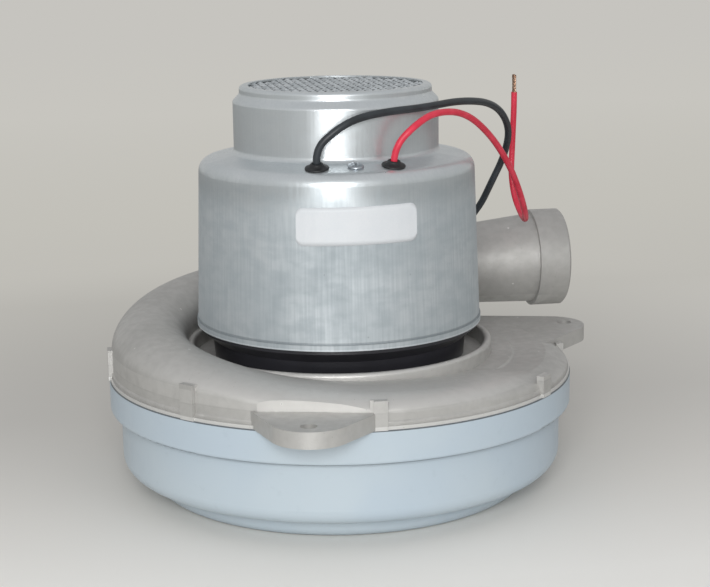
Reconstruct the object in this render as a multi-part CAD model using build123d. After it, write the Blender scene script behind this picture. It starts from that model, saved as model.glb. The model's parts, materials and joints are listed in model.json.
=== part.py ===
from build123d import *
import math
import os

os.makedirs("parts", exist_ok=True)

# Vacuum motor unit. Millimetres, +Z up along the shaft, +X along the discharge
# horn, origin at the centre of the air inlet in the base.

# Fits and clearances
slip = 0.05            # rings and hubs on the shaft, all round
seat_gap = 0.15        # pieces that drop into a seat, all round
body_gap = 0.3         # sheet steel over the casting and the guide fans
run_gap = 1.0          # turning fans to fixed plates, along the shaft
eye_gap = 1.5          # turning eye collar in a fixed eye, all round
seal_gap = 0.3         # bearing shield to inner ring
cut_over = 2.0         # overrun of every cutting tool past the face it cuts

# Fan shell, a drawn steel cup
shell_sheet = 1.2
shell_band_r = 106.7
shell_body_r = 101.8
shell_foot_r = 88.0
shell_foot_z = 8.4
shell_shelf_z = 10.9
shell_step_z = 38.0
shell_top_z = 52.7
shell_foot_round = 6.0
shell_shelf_round = 7.2
shell_step_round = 1.8
inlet_r = 27.0
inlet_depth = 6.0

# Turning fans
fan_r = 93.0
fan_sheet = 0.9
fan_depth = 6.8
fan_taper = 1.4
fan_eye_r = 26.0
fan_collar = 1.2
fan_blades = 6
fan_sweep = 58.0
fan_blade_in_r = 29.0

# Fixed guide fans
guide_sheet = 1.0
guide_depth = 5.8
guide_plate_r = 95.5
guide_vanes = 7
guide_sweep = 46.0
guide_vane_in_r = 33.0
guide_vane_out_r = 94.0
guide_rim = 0.9

# Shaft and what clamps the fans
shaft_fan_r = 6.0
shaft_core_r = 8.5
shaft_comm_r = 7.0
shaft_shoulder_r = 9.5
shaft_tip_r = 4.0
shaft_below = 11.3
spacer_r = 9.0
nut_flats = 18.0
nut_height = 8.0
washer_r = 13.0
washer_thick = 1.8

# Ball bearings, closed by shields
low_bearing_r = 17.5
low_bearing_bore_r = 7.5
low_bearing_width = 11.0
up_bearing_r = 15.0
up_bearing_bore_r = 5.0
up_bearing_width = 9.0
ring_share = 0.31      # thickness of each ring over the bearing's section
shield_thick = 0.5

# Exhaust casting
cast_spigot_wall = 4.2
cast_wall_r = 105.6
cast_lip_r = 106.4
cast_lip_high = 1.5
cast_wall_z = 56.0
cast_mid_r = 100.6
cast_mid_z = 59.0
cast_top_r = 95.5
cast_top_z = 60.5
cast_crease_r = 80.0
cast_crease = 1.0
well_z = 60.0
well_r = 67.0
well_lip = 3.5
well_lip_z = 67.2
well_lip_round = 1.6
seat_floor = 3.3
hub_r = 23.0
hub_rise = 6.0
web_in_r = 26.0
web_out_r = 42.0
web_drop = 6.5
post_in_r = 45.0
post_out_r = 54.5
post_width = 13.0
post_z = 80.0
post_angles = (45, 135, 225, 315)

# Volute, an arch that grows round the casting, and its horn
scroll_r = 87.5
scroll_half = 17.6
scroll_wall = 3.2
scroll_foot_z = 40.7
scroll_floor = 4.0
scroll_first = 330
scroll_last = 90
scroll_inset = 12
scroll_sections = (    # angle, then the inner spring, top and outer spring levels, and the top's radius
    (330, 57.2, 58.2, 53.8, 93.0), (315, 60.1, 61.5, 56.5, 93.0), (299, 61.8, 63.2, 58.0, 93.0),
    (282, 63.0, 64.6, 59.0, 93.0), (261, 64.2, 66.0, 60.2, 93.0), (245, 64.7, 68.2, 62.4, 91.0),
    (230, 64.9, 71.3, 64.5, 89.0), (216, 65.0, 74.1, 65.4, 87.5), (200, 65.2, 77.1, 65.7, 87.5),
    (180, 65.7, 80.5, 65.7, 87.5), (160, 66.9, 83.7, 66.9, 87.5), (140, 69.0, 86.5, 69.0, 87.5),
    (120, 71.2, 88.8, 71.2, 87.5), (90, 73.9, 91.5, 73.9, 87.5))
slot_in_r = 89.0
slot_out_r = 100.4
bore_step = 1.0        # the horn's bore starts this much inside the volute's walls
horn_neck_x = 88.0
horn_neck_r = 21.0
horn_neck_z = 81.0
horn_flare_x = 115.0
horn_flare_r = 23.0
horn_flare_z = 82.3
horn_end_x = 131.0
horn_collar_r = 25.0
horn_wall = 3.6
horn_chamfer = 0.9

# Mounting lugs and skirt pads
lug_angles = (15, 135, 255)
lug_tip_x = 113.5
lug_tip_r = 17.0
lug_tip_angle = 60.0
lug_root_x = 90.0
lug_hole_r = 3.5
lug_hole_x = 122.0
lug_top_z = 60.0
lug_thick = 7.1
lug_flat_x = 102.4
lug_flat_width = 49.0
pads_at = ((0, 5.6), (45, 5.6), (90, 5.6), (180, 14.0), (224, 15.4), (269.5, 12.6), (318, 9.5))
pad_width = 7.0
pad_proud = 1.5

# Bearing retainer
retainer_thick = 1.5
retainer_in_r = 12.5
retainer_screws = 3
retainer_screw_r = 20.2
small_screw_r = 1.5
small_head_r = 2.6
small_head = 1.6
small_screw_long = 7.0

# Motor field
yoke_r = 50.0
yoke_wall = 4.5
yoke_long = 52.0
magnet_thick = 8.4
magnet_long = 44.0
magnet_half = 65.0
clip_half = 22.0
clip_thick = 1.2
air_gap = 0.9

# Armature
core_slots = 12
core_low = 6.0
core_long = 38.0
core_slot_mouth = 3.0
core_slot_wide = 8.5
core_slot_depth = 15.0
core_tooth_tip = 2.6
coil_high = 8.0
coil_low = 7.0
coil_r = 33.0
coil_round = 3.5
coil_in_r = 13.0
comm_r = 14.0
comm_riser_r = 16.0
comm_riser = 2.0
comm_bars = 24
comm_slit = 0.6
comm_slit_depth = 1.0

# Commutator end bracket
bracket_r = 56.0
bracket_in_r = 40.0
bracket_thick = 4.0
bridge_half = 7.0
bridge_high = 6.0
upright_in = 37.5
upright_out = 44.5
boss_r = 18.5
boss_floor = 1.4
boss_hole_r = 11.5
bolt_circle_r = 52.5
bolt_r = 2.0
bolt_head_r = 3.6
bolt_head = 2.6
bolt_bite = 14.0
standoff_r = 3.5
cover_screw_circle = 52.2
cover_screw_angles = (90, 270)

# Brush gear
plate_in_r = 20.0
plate_out_r = 43.5
plate_thick = 3.0
brush_wide = 6.0
brush_high = 10.0
brush_long = 16.0
brush_play = 0.15
holder_wall = 0.8
holder_in = 17.5
holder_out = 46.0
cap_thick = 1.2
tab_long = 2.6
tab_thick = 0.8
tab_wide = 4.0
spring_wire_r = 0.35
spring_r = 2.2
spring_turns = 5

# Cooling fan
vent_r = 42.0
vent_sheet = 0.8
vent_high = 9.0
vent_blades = 8
vent_hub_r = 9.0
vent_in_r = 15.0
vent_sweep = 24.0
vent_rise = 2.6
clip_r = 8.0
shaft_above = 1.0

# Support ring, black plastic
ring_neck_r = 58.4
ring_foot_r = 57.6
ring_wall = 2.4
ring_flange_r = 64.0
ring_flange_z = 74.2
ring_flange = 1.8
ring_slope = 4.7       # fall of the flange's underside to the neck
ring_lip = 3.0
ring_windows = 7
ring_window_pitch = 20.0
ring_window_wide = 15.0
ring_window_high = 9.0
ring_round = 1.2

# Motor cover, a drawn can with a stepped cap
can_sheet = 0.8
can_foot_r = 65.0
can_hem_proud = 0.5
can_hem = 2.7
can_top_r = 62.6
can_shoulder_z = 151.1
can_corner = 6.0
cap_foot_z = 154.5
cap_r = 46.5
cap_step_z = 177.4
cap_neck_r = 43.5
cap_neck_z = 180.5
cap_top_z = 184.2
cap_lip_r = 39.5
cap_round = 1.6
cap_foot_round = 2.4

# Top screen
screen_sheet = 0.7
screen_hole_flats = 5.2
screen_pitch = 7.0
screen_field_r = 37.0

# Cover screws and lead grommets
cover_screw_r = 1.9
cover_head_r = 3.5
cover_head = 2.6
cover_screw_long = 8.0
cover_recess = 1.2
grommet_angles = (252, 288)
grommet_r = 53.6
grommet_hole_r = 4.2
grommet_groove_r = 4.0
grommet_flange_r = 5.2
grommet_grip_r = 4.6
grommet_above = 2.6
grommet_below = 2.4
lead_gap = 0.1

# Leads
lead_black_r = 1.65
lead_red_r = 1.5
end_r = 1.1
end_long = 10.0
route_black = [
    (-12.1, -53.9, 167.4), (-1.5, -51.4, 173.4), (13.9, -46.9, 175.8),
    (32.8, -37.6, 176.1), (53.7, -20.7, 177.1), (74.3, 0.4, 173.0), (85.8, 16.8, 160.2),
    (85.6, 24.9, 145.9), (80.0, 29.9, 131.4), (75.7, 36.6, 118.2), (65.0, 44.0, 104.0),
    (56.0, 54.0, 91.0), (46.0, 61.5, 81.0)]
route_red = [
    (23.4, -53.3, 168.3), (35.8, -44.8, 174.8), (53.2, -28.7, 172.6),
    (69.6, -9.0, 160.0), (82.9, 9.1, 144.2), (92.3, 23.9, 128.8), (99.0, 37.0, 115.7),
    (103.2, 50.5, 108.3), (104.2, 63.5, 109.6), (102.2, 69.9, 117.9), (101.0, 71.6, 129.5),
    (101.6, 72.0, 141.2), (101.8, 71.0, 153.0), (101.9, 69.9, 163.2), (101.8, 69.4, 170.8)]
lead_rise = 6.5
lead_lift = 4.0        # inner leads below the grommets
lead_start = 3.6       # inner leads straight out from the tabs
route_inner = [
    (5.5, 56.9, 144.4), (14.0, 57.6, 143.4), (25.0, 57.4, 142.4),
    (37.0, 57.0, 141.7), (48.0, 56.4, 141.5), (58.0, 55.6, 141.8)]

# Levels that follow from the sizes above
ledge_z = shell_step_z + shell_sheet
spigot_z = ledge_z + guide_sheet
fan3_z = spigot_z + run_gap
fan3_top = fan3_z + fan_depth
plate_z = fan3_top + run_gap
guide2_z = spigot_z - guide_depth
fan2_top = guide2_z - run_gap
fan2_z = fan2_top - fan_depth
guide1_top = fan2_z - run_gap
guide1_z = guide1_top - guide_depth
fan1_top = guide1_z - run_gap
fan1_z = fan1_top - fan_depth
spigot_r = shell_band_r - shell_sheet - body_gap
chamber_r = spigot_r - cast_spigot_wall
guide_r = shell_body_r - shell_sheet - body_gap
low_bearing_z = plate_z + seat_floor
low_bearing_top = low_bearing_z + low_bearing_width
hub_z = well_z + hub_rise
scroll_floor_z = plate_z + scroll_floor
bracket_z = post_z + yoke_long
bracket_top = bracket_z + bracket_thick
magnet_out_r = yoke_r - yoke_wall - slip
magnet_in_r = magnet_out_r - magnet_thick
core_r = magnet_in_r - air_gap
core_z = post_z + core_low
core_top = core_z + core_long
magnet_z = core_z + (core_long - magnet_long) / 2
brush_z = bracket_top + plate_thick + holder_wall + brush_play
holder_z = bracket_top + plate_thick
holder_high = brush_high + 2 * (brush_play + holder_wall)
comm_z = bracket_top + run_gap
comm_top = holder_z + holder_high + run_gap
boss_z = comm_top + run_gap
up_bearing_z = boss_z + boss_floor
up_bearing_top = up_bearing_z + up_bearing_width
vent_z = up_bearing_top + vent_rise
vent_top = vent_z + vent_high
shaft_top = vent_top + clip_thick + shaft_above
shaft_low = fan1_top - shaft_below
ring_top = ring_flange_z + ring_flange
shoulder_slope = (cap_foot_z - can_shoulder_z) / (can_top_r - cap_r)
shoulder_tilt = math.degrees(math.atan(shoulder_slope))
shoulder_sheet = can_sheet * (1 + shoulder_slope) * math.cos(math.atan(shoulder_slope))
screw_top_z = cap_foot_z - (cover_screw_circle - cap_r) * shoulder_slope
grommet_z = cap_foot_z - (grommet_r - cap_r) * shoulder_slope


def outline(points, gap=slip):
    """Edges of a closed outline through (x, y) or (x, y, corner radius) points."""
    count = len(points)
    corners = []
    for i, point in enumerate(points):
        a = Vector(*points[i - 1][:2])
        b = Vector(*point[:2])
        c = Vector(*points[(i + 1) % count][:2])
        if len(point) < 3:
            corners.append((b, None, b))
            continue
        u, v = (a - b).normalized(), (c - b).normalized()
        half = math.radians(u.get_angle(v)) / 2
        cut = point[2] / math.tan(half)
        middle = b + (u + v).normalized() * (point[2] / math.sin(half) - point[2])
        corners.append((b + u * cut, middle, b + v * cut))
    edges = []
    for i, (start, middle, end) in enumerate(corners):
        following = corners[(i + 1) % count][0]
        if middle is not None:
            edges.append(ThreePointArc(start, middle, end))
        if (following - end).length > gap * gap:
            edges.append(Line(end, following))
    return edges


def flat(points):
    return make_face(outline(points))


def turned(points, start=0, arc=360):
    """A profile of (radius, z) points turned about the shaft axis."""
    return Rot(0, 0, start) * revolve(Plane.XZ * flat(points), Axis.Z, arc)


def ring(r_in, r_out, low, high):
    disc = Circle(r_out) - Circle(r_in) if r_in else Circle(r_out)
    return Pos(0, 0, low) * extrude(disc, high - low)


def block(x0, x1, y0, y1, z0, z1):
    return Pos((x0 + x1) / 2, (y0 + y1) / 2, (z0 + z1) / 2) * Box(x1 - x0, y1 - y0, z1 - z0)


def round_about(piece, angles):
    return [Rot(0, 0, angle) * piece for angle in angles]


def fused(pieces):
    whole = pieces[0]
    for piece in pieces[1:]:
        whole = whole + piece
    return whole


def write(name, pieces):
    pieces = pieces if isinstance(pieces, list) else [pieces]
    solids = [solid for piece in pieces for solid in piece.solids()]
    export_step(solids[0] if len(solids) == 1 else Compound(children=solids), f"parts/{name}.step")
    return solids


def on_shoulder(radius, z, angle):
    return Rot(0, 0, angle) * Pos(radius, 0, z) * Rot(0, shoulder_tilt, 0)


def swept_blade(r_in, r_out, sweep, sheet, low, high):
    """A plate between two radii whose outer edge trails the inner one by the sweep."""
    def place(radius, lag, side):
        angle = -math.radians(lag) + side * sheet / (2 * radius)
        return (radius * math.cos(angle), radius * math.sin(angle))
    middle, bend = (r_in + r_out) / 2, 0.36 * sweep
    edges = [
        ThreePointArc(place(r_in, 0, 1), place(middle, bend, 1), place(r_out, sweep, 1)),
        Line(place(r_out, sweep, 1), place(r_out, sweep, -1)),
        ThreePointArc(place(r_out, sweep, -1), place(middle, bend, -1), place(r_in, 0, -1)),
        Line(place(r_in, 0, -1), place(r_in, 0, 1))]
    return Pos(0, 0, low) * extrude(make_face(edges), high - low)


# Fan shell: base, foot, shelf, wall, step and band in one drawn profile
band_in_r = shell_band_r - shell_sheet
body_in_r = shell_body_r - shell_sheet
foot_in_r = shell_foot_r - shell_sheet
fan_shell = turned([
    (inlet_r, 0), (shell_foot_r, 0, shell_foot_round), (shell_foot_r, shell_foot_z, shell_step_round),
    (shell_body_r, shell_shelf_z, shell_shelf_round), (shell_body_r, shell_step_z, shell_sheet),
    (shell_band_r, shell_step_z, shell_step_round), (shell_band_r, shell_top_z),
    (band_in_r, shell_top_z), (band_in_r, ledge_z), (body_in_r, ledge_z, shell_step_round),
    (body_in_r, shell_shelf_z + shell_sheet, shell_shelf_round - shell_sheet),
    (foot_in_r, shell_foot_z + shell_sheet, shell_step_round + shell_sheet),
    (foot_in_r, shell_sheet, shell_foot_round - shell_sheet),
    (inlet_r + shell_sheet, shell_sheet, shell_sheet), (inlet_r + shell_sheet, inlet_depth),
    (inlet_r, inlet_depth)])
write("fan_shell", fan_shell)


# Turning fans: back disc, tapered front disc with an eye collar, swept blades
def turning_fan(low):
    high = low + fan_depth
    eye_out = fan_eye_r + fan_sheet
    back = ring(shaft_fan_r + slip, fan_r, high - fan_sheet, high)
    front = turned([
        (fan_eye_r, low - fan_collar), (eye_out, low - fan_collar), (eye_out, low),
        (fan_r, low + fan_taper), (fan_r, low + fan_taper + fan_sheet),
        (eye_out, low + fan_sheet), (fan_eye_r, low + fan_sheet)])
    channel = turned([
        (fan_blade_in_r, low + fan_sheet / 2), (fan_r, low + fan_taper + fan_sheet / 2),
        (fan_r, high - fan_sheet / 2), (fan_blade_in_r, high - fan_sheet / 2)])
    blade = swept_blade(fan_blade_in_r, fan_r + cut_over, fan_sweep, fan_sheet, low, high) & channel
    turns = [i * 360 / fan_blades for i in range(fan_blades)]
    return fused([back, front] + round_about(blade, turns))


for name, low in (("impeller_1", fan1_z), ("impeller_2", fan2_z), ("impeller_3", fan3_z)):
    write(name, turning_fan(low))


# Guide fans: plate, return vanes and cover with an eye; the first has a rim wall
# that stands in the shell, the second a flange that the casting clamps
def guide_fan(low, cover_r):
    high = low + guide_depth
    plate = ring(spacer_r + run_gap, guide_plate_r, low, low + guide_sheet)
    cover = ring(fan_eye_r + fan_sheet + eye_gap, cover_r, high - guide_sheet, high)
    vane = swept_blade(guide_vane_in_r, guide_vane_out_r, -guide_sweep, guide_sheet,
                       low + guide_sheet / 2, high - guide_sheet / 2)
    turns = [i * 360 / guide_vanes for i in range(guide_vanes)]
    return fused([plate, cover] + round_about(vane, turns))


rim_z = shell_shelf_z + shell_shelf_round + body_gap
guide_rim_wall = ring(guide_r - guide_rim, guide_r, rim_z, ledge_z)
write("stationary_fan_1", guide_fan(guide1_z, guide_r) + guide_rim_wall)
write("stationary_fan_2", guide_fan(guide2_z, spigot_r))

# Shaft with its steps, and the spacers, washer and nut of the fan stack
shaft = turned([
    (0, shaft_low), (shaft_fan_r - washer_thick / 2, shaft_low), (shaft_fan_r, shaft_low + washer_thick / 2),
    (shaft_fan_r, low_bearing_z), (low_bearing_bore_r, low_bearing_z),
    (low_bearing_bore_r, low_bearing_top), (shaft_shoulder_r, low_bearing_top),
    (shaft_shoulder_r, core_z - coil_low), (shaft_core_r, core_z - coil_low),
    (shaft_core_r, core_top + coil_high), (shaft_comm_r, core_top + coil_high),
    (shaft_comm_r, up_bearing_z), (up_bearing_bore_r, up_bearing_z),
    (up_bearing_bore_r, up_bearing_top), (shaft_tip_r, up_bearing_top), (shaft_tip_r, shaft_top),
    (0, shaft_top)])
write("shaft", shaft)
hub_bore = shaft_fan_r + slip
write("spacer_1", ring(hub_bore, spacer_r, fan1_top, fan2_top - fan_sheet))
write("spacer_2", ring(hub_bore, spacer_r, fan2_top, fan3_top - fan_sheet))
write("spacer_3", ring(hub_bore, spacer_r, fan3_top, low_bearing_z))
washer_top = fan1_top - fan_sheet
write("fan_washer", ring(hub_bore, washer_r, washer_top - washer_thick, washer_top))
nut_top = washer_top - washer_thick
nut_shape = RegularPolygon(nut_flats / 2, 6, major_radius=False) - Circle(hub_bore)
write("fan_nut", Pos(0, 0, nut_top - nut_height) * extrude(nut_shape, nut_height))


# Bearings: an inner ring and an outer ring with its two shields
def bearing(name, bore, outer, low, width):
    wall = (outer - bore) * ring_share
    inner_out, outer_in = bore + wall, outer - wall
    write(name + "_inner", ring(bore + slip / 2, inner_out, low, low + width))
    shield = ring(inner_out + seal_gap, outer_in, low, low + shield_thick)
    shields = [shield, Pos(0, 0, width - shield_thick) * shield]
    write(name + "_outer", fused([ring(outer_in, outer - slip / 2, low, low + width)] + shields))


bearing("lower_bearing", low_bearing_bore_r, low_bearing_r, low_bearing_z, low_bearing_width)
bearing("upper_bearing", up_bearing_bore_r, up_bearing_r, up_bearing_z, up_bearing_width)


# Exhaust casting: the volute's arch rises as it runs round from the front by the
# left to the rear, where it leaves along a tangent as the horn
def arch(row, inset):
    angle, spring_in, top, spring_out, top_r = row
    left, right = scroll_r - scroll_half + inset, scroll_r + scroll_half - inset
    share = (scroll_half - inset) / scroll_half
    spring_in = top - inset - (top - spring_in) * share
    spring_out = top - inset - (top - spring_out) * share
    top = top - inset
    turn = math.radians(angle)
    plane = Plane(origin=(0, 0, 0), x_dir=(math.cos(turn), math.sin(turn), 0),
                  z_dir=(math.sin(turn), -math.cos(turn), 0))
    return plane * make_face([
        Line((left, scroll_foot_z), (right, scroll_foot_z)), Line((right, scroll_foot_z), (right, spring_out)),
        EllipticalCenterArc((top_r, spring_out), right - top_r, top - spring_out, 0, arc_size=90),
        EllipticalCenterArc((top_r, spring_in), top_r - left, top - spring_in, 90, arc_size=90),
        Line((left, spring_in), (left, scroll_foot_z))])


def scroll(inset):
    return loft([arch(row, inset) for row in scroll_sections])


def tube(stations):
    """A tube of round sections (x, radius, centre z) behind the motor."""
    spans = []
    for (x0, r0, z0), (x1, r1, z1) in zip(stations, stations[1:]):
        ends = [Plane(origin=(x, scroll_r, z), x_dir=(0, 1, 0), z_dir=(1, 0, 0)) * Circle(r)
                for x, r, z in ((x0, r0, z0), (x1, r1, z1))]
        spans.append(loft(ends))
    return fused(spans)


base = turned([
    (0, plate_z), (chamber_r, plate_z), (chamber_r, spigot_z), (spigot_r, spigot_z),
    (spigot_r, shell_top_z), (cast_lip_r, shell_top_z), (cast_lip_r, shell_top_z + cast_lip_high),
    (cast_wall_r, shell_top_z + cast_lip_high), (cast_wall_r, cast_wall_z, cast_lip_high),
    (cast_mid_r, cast_mid_z, cast_mid_z - cast_wall_z), (cast_top_r, cast_top_z, cast_lip_high),
    (cast_crease_r + cast_crease, cast_top_z - cast_crease / 2),
    (cast_crease_r, cast_top_z), (well_r + well_lip, cast_top_z),
    (well_r + well_lip, well_lip_z, well_lip_round), (well_r, well_lip_z, well_lip_round),
    (well_r, well_z), (web_out_r, well_z), (web_out_r, well_z - web_drop),
    (web_in_r, well_z - web_drop), (web_in_r, well_z), (hub_r, well_z), (hub_r, hub_z), (0, hub_z)])
arc_z = scroll_sections[-1][1]
horn_out = tube([(0, scroll_half, arc_z), (horn_neck_x, horn_neck_r, horn_neck_z),
                 (horn_flare_x, horn_flare_r, horn_flare_z)])
axis_y = Plane(origin=(horn_flare_x, scroll_r, horn_flare_z), x_dir=(0, 1, 0), z_dir=(1, 0, 0))
collar_long = horn_end_x - horn_flare_x
collar = extrude(axis_y * Circle(horn_collar_r), collar_long)
collar = chamfer(collar.edges().sort_by(Axis.X)[-1], horn_chamfer)
saddle = block(-cut_over, horn_neck_x, scroll_r - scroll_half, scroll_r + scroll_half,
               cast_wall_z - cut_over, arc_z) & ring(0, cast_wall_r - body_gap, plate_z, horn_neck_z)


def lug():
    tip = math.radians(lug_tip_angle)
    touch_x, touch_y = lug_tip_x + lug_tip_r * math.cos(tip), lug_tip_r * math.sin(tip)
    half = touch_y + (touch_x - lug_root_x) / math.tan(tip)
    shape = make_face([
        Line((lug_root_x, -half), (touch_x, -touch_y)),
        ThreePointArc((touch_x, -touch_y), (lug_tip_x + lug_tip_r, 0), (touch_x, touch_y)),
        Line((touch_x, touch_y), (lug_root_x, half)), Line((lug_root_x, half), (lug_root_x, -half))])
    return Pos(0, 0, lug_top_z - lug_thick) * extrude(shape, lug_thick)


def pad(high):
    return block(spigot_r - pad_proud, cast_wall_r + pad_proud, -pad_width / 2, pad_width / 2,
                 shell_top_z, shell_top_z + high)


post = block(post_in_r, post_out_r, -post_width / 2, post_width / 2, well_z - cut_over, post_z)
lugs = round_about(lug(), lug_angles)
pads = [Rot(0, 0, angle) * pad(high) for angle, high in pads_at]
casting = fused([base, scroll(0), horn_out, collar, saddle]
                + lugs + pads + round_about(post, post_angles))

# Cuts: fan chamber, volute, its feed slot, horn bore, well, bearing seat, holes
chamber = ring(0, chamber_r, spigot_z - cut_over, plate_z)
well = ring(hub_r, well_r, well_z, cap_top_z) - fused(round_about(
    block(post_in_r, post_out_r, -post_width / 2, post_width / 2, well_z - cut_over, cap_top_z), post_angles))
volute_in = scroll(scroll_wall) & ring(0, cast_wall_r, scroll_floor_z, cap_top_z)
volute_in = volute_in - turned([
    (well_r, plate_z), (cast_wall_r, plate_z), (cast_wall_r, cap_top_z), (well_r, cap_top_z)],
    scroll_first - scroll_inset, scroll_inset + cut_over)
slot = turned([(slot_in_r, plate_z - cut_over), (slot_out_r, plate_z - cut_over),
               (slot_out_r, scroll_floor_z + cut_over), (slot_in_r, scroll_floor_z + cut_over)],
              scroll_last, scroll_first - scroll_last - 2 * scroll_inset)
bore_in = tube([
    (-2 * cut_over, scroll_half - scroll_wall - bore_step, arc_z),
    (horn_neck_x, horn_neck_r - scroll_wall, horn_neck_z),
    (horn_end_x + cut_over, horn_collar_r - horn_wall, horn_flare_z)])
seat = ring(0, low_bearing_r + slip / 2, low_bearing_z, hub_z + cut_over)
shaft_hole = ring(0, spacer_r + run_gap, plate_z - cut_over, low_bearing_z + cut_over)
bolt_hole = Pos(bolt_circle_r, 0, post_z - bolt_bite) * extrude(Circle(bolt_r + seat_gap), bolt_bite + cut_over)
screw_hole = Pos(retainer_screw_r, 0, hub_z - small_screw_long) * extrude(
    Circle(small_screw_r + seat_gap), small_screw_long + cut_over)
lug_hole = Pos(lug_hole_x, 0, lug_top_z - lug_thick - cut_over) * extrude(
    Circle(lug_hole_r), lug_thick + 2 * cut_over)
lug_flat = block(lug_flat_x, cast_lip_r + cut_over, -lug_flat_width / 2, lug_flat_width / 2,
                 lug_top_z, well_lip_z)
retainer_angles = [60 + i * 360 / retainer_screws for i in range(retainer_screws)]
cuts = ([chamber, well, volute_in, slot, bore_in, seat, shaft_hole]
        + round_about(bolt_hole, post_angles) + round_about(screw_hole, retainer_angles)
        + round_about(lug_hole, lug_angles) + round_about(lug_flat, lug_angles[2:]))
for tool in cuts:
    casting = casting - tool
write("exhaust_casting", casting)

# Bearing retainer and its screws
retainer = ring(retainer_in_r, hub_r - seat_gap, hub_z, hub_z + retainer_thick)
for hole in round_about(Pos(retainer_screw_r, 0, hub_z - cut_over) * extrude(
        Circle(small_screw_r + seat_gap), retainer_thick + 2 * cut_over), retainer_angles):
    retainer = retainer - hole
write("bearing_retainer", retainer)


def pan_screw(r, head_r, head, long):
    """A screw whose head rests at z = 0."""
    return turned([(0, -long), (r, -long), (r, 0), (head_r, 0), (head_r, head * 0.6),
                   (head_r * 0.7, head), (0, head)])


small_screw = Pos(retainer_screw_r, 0, hub_z + retainer_thick) * pan_screw(
    small_screw_r, small_head_r, small_head, small_screw_long)
write("retainer_screws", round_about(small_screw, retainer_angles))

# Field: yoke tube, two magnets and the clips between them
write("field_yoke", ring(yoke_r - yoke_wall, yoke_r, post_z, bracket_z))
magnet = turned([(magnet_in_r, magnet_z), (magnet_out_r, magnet_z),
                 (magnet_out_r, magnet_z + magnet_long), (magnet_in_r, magnet_z + magnet_long)],
                -magnet_half, 2 * magnet_half)
write("field_magnets", round_about(magnet, (0, 180)))
clip = turned([(magnet_out_r - clip_thick, magnet_z), (magnet_out_r, magnet_z),
               (magnet_out_r, magnet_z + magnet_long), (magnet_out_r - clip_thick, magnet_z + magnet_long)],
              -clip_half, 2 * clip_half)
write("magnet_clips", round_about(clip, (90, 270)))

# Armature: slotted core, winding in the slots with its end turns, commutator
slot_in = core_r - core_slot_depth
slot_shape = flat([(slot_in, -core_slot_mouth / 2), (core_r - core_tooth_tip, -core_slot_wide / 2),
                   (core_r - core_tooth_tip, core_slot_wide / 2), (slot_in, core_slot_mouth / 2)])
mouth_shape = flat([(core_r - core_tooth_tip, -core_slot_mouth / 2), (core_r + cut_over, -core_slot_mouth / 2),
                    (core_r + cut_over, core_slot_mouth / 2), (core_r - core_tooth_tip, core_slot_mouth / 2)])
slot_turns = [i * 360 / core_slots for i in range(core_slots)]
core_face = Circle(core_r) - Circle(shaft_core_r + slip)
for turn in slot_turns:
    core_face = core_face - Rot(0, 0, turn) * (slot_shape + mouth_shape)
write("armature_core", Pos(0, 0, core_z) * extrude(core_face, core_long))
bar_out = core_r - core_tooth_tip - seat_gap
bar_shape = flat([(slot_in + seat_gap, seat_gap - core_slot_mouth / 2), (bar_out, seat_gap - core_slot_wide / 2),
                  (bar_out, core_slot_wide / 2 - seat_gap), (slot_in + seat_gap, core_slot_mouth / 2 - seat_gap)])
bar = Pos(0, 0, core_z - coil_low / 2) * extrude(bar_shape, core_long + (coil_low + coil_high) / 2)
end_low = turned([(coil_in_r, core_z - coil_low, coil_round), (coil_r, core_z - coil_low, coil_round),
                  (coil_r, core_z - seat_gap), (coil_in_r, core_z - seat_gap)])
end_high = turned([(coil_in_r, core_top + seat_gap), (coil_r, core_top + seat_gap),
                   (coil_r, core_top + coil_high, coil_round), (coil_in_r, core_top + coil_high, coil_round)])
write("armature_winding", fused([end_low, end_high] + round_about(bar, slot_turns)))
comm = turned([(shaft_comm_r + slip, comm_z), (comm_riser_r, comm_z), (comm_riser_r, comm_z + comm_riser),
               (comm_r, comm_z + comm_riser), (comm_r, comm_top), (shaft_comm_r + slip, comm_top)])
slit_r = comm_r - comm_slit_depth
slit = block(slit_r, comm_riser_r + cut_over, -comm_slit / 2, comm_slit / 2, comm_z - cut_over, comm_top + cut_over)
for turn in range(comm_bars):
    comm = comm - Rot(0, 0, turn * 360 / comm_bars) * slit
write("commutator", comm)

# Commutator end bracket: ring, two uprights, bridge with the bearing boss, standoffs
shoulder_in_z = screw_top_z - (1 + shoulder_slope) * can_sheet
upright = block(-bridge_half, bridge_half, upright_in, upright_out, bracket_z, up_bearing_z + bridge_high)
bridge = block(-bridge_half, bridge_half, -upright_out, upright_out, up_bearing_z, up_bearing_z + bridge_high)
standoff = Pos(cover_screw_circle, 0, bracket_z) * extrude(
    Circle(standoff_r), shoulder_in_z - cover_recess - seat_gap - bracket_z)
bracket = fused([ring(bracket_in_r, bracket_r, bracket_z, bracket_top), bridge,
                 ring(0, boss_r, boss_z, up_bearing_top)]
                + round_about(upright, (0, 180)) + round_about(standoff, cover_screw_angles))
through = Pos(bolt_circle_r, 0, bracket_z - cut_over) * extrude(
    Circle(bolt_r + seat_gap), bracket_thick + 2 * cut_over)
tapped = on_shoulder(cover_screw_circle, screw_top_z, 0) * Cylinder(
    cover_screw_r + seat_gap, 2 * cover_screw_long + cover_recess)
for tool in ([ring(0, up_bearing_r + slip / 2, up_bearing_z, up_bearing_top + cut_over),
              ring(0, boss_hole_r, boss_z - cut_over, up_bearing_z + cut_over)]
             + round_about(through, post_angles) + round_about(tapped, cover_screw_angles)):
    bracket = bracket - tool
write("commutator_bracket", bracket)
bolt = Pos(bolt_circle_r, 0, bracket_top) * pan_screw(
    bolt_r, bolt_head_r, bolt_head, bracket_top - post_z + bolt_bite - cut_over)
write("through_bolts", round_about(bolt, post_angles))

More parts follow.
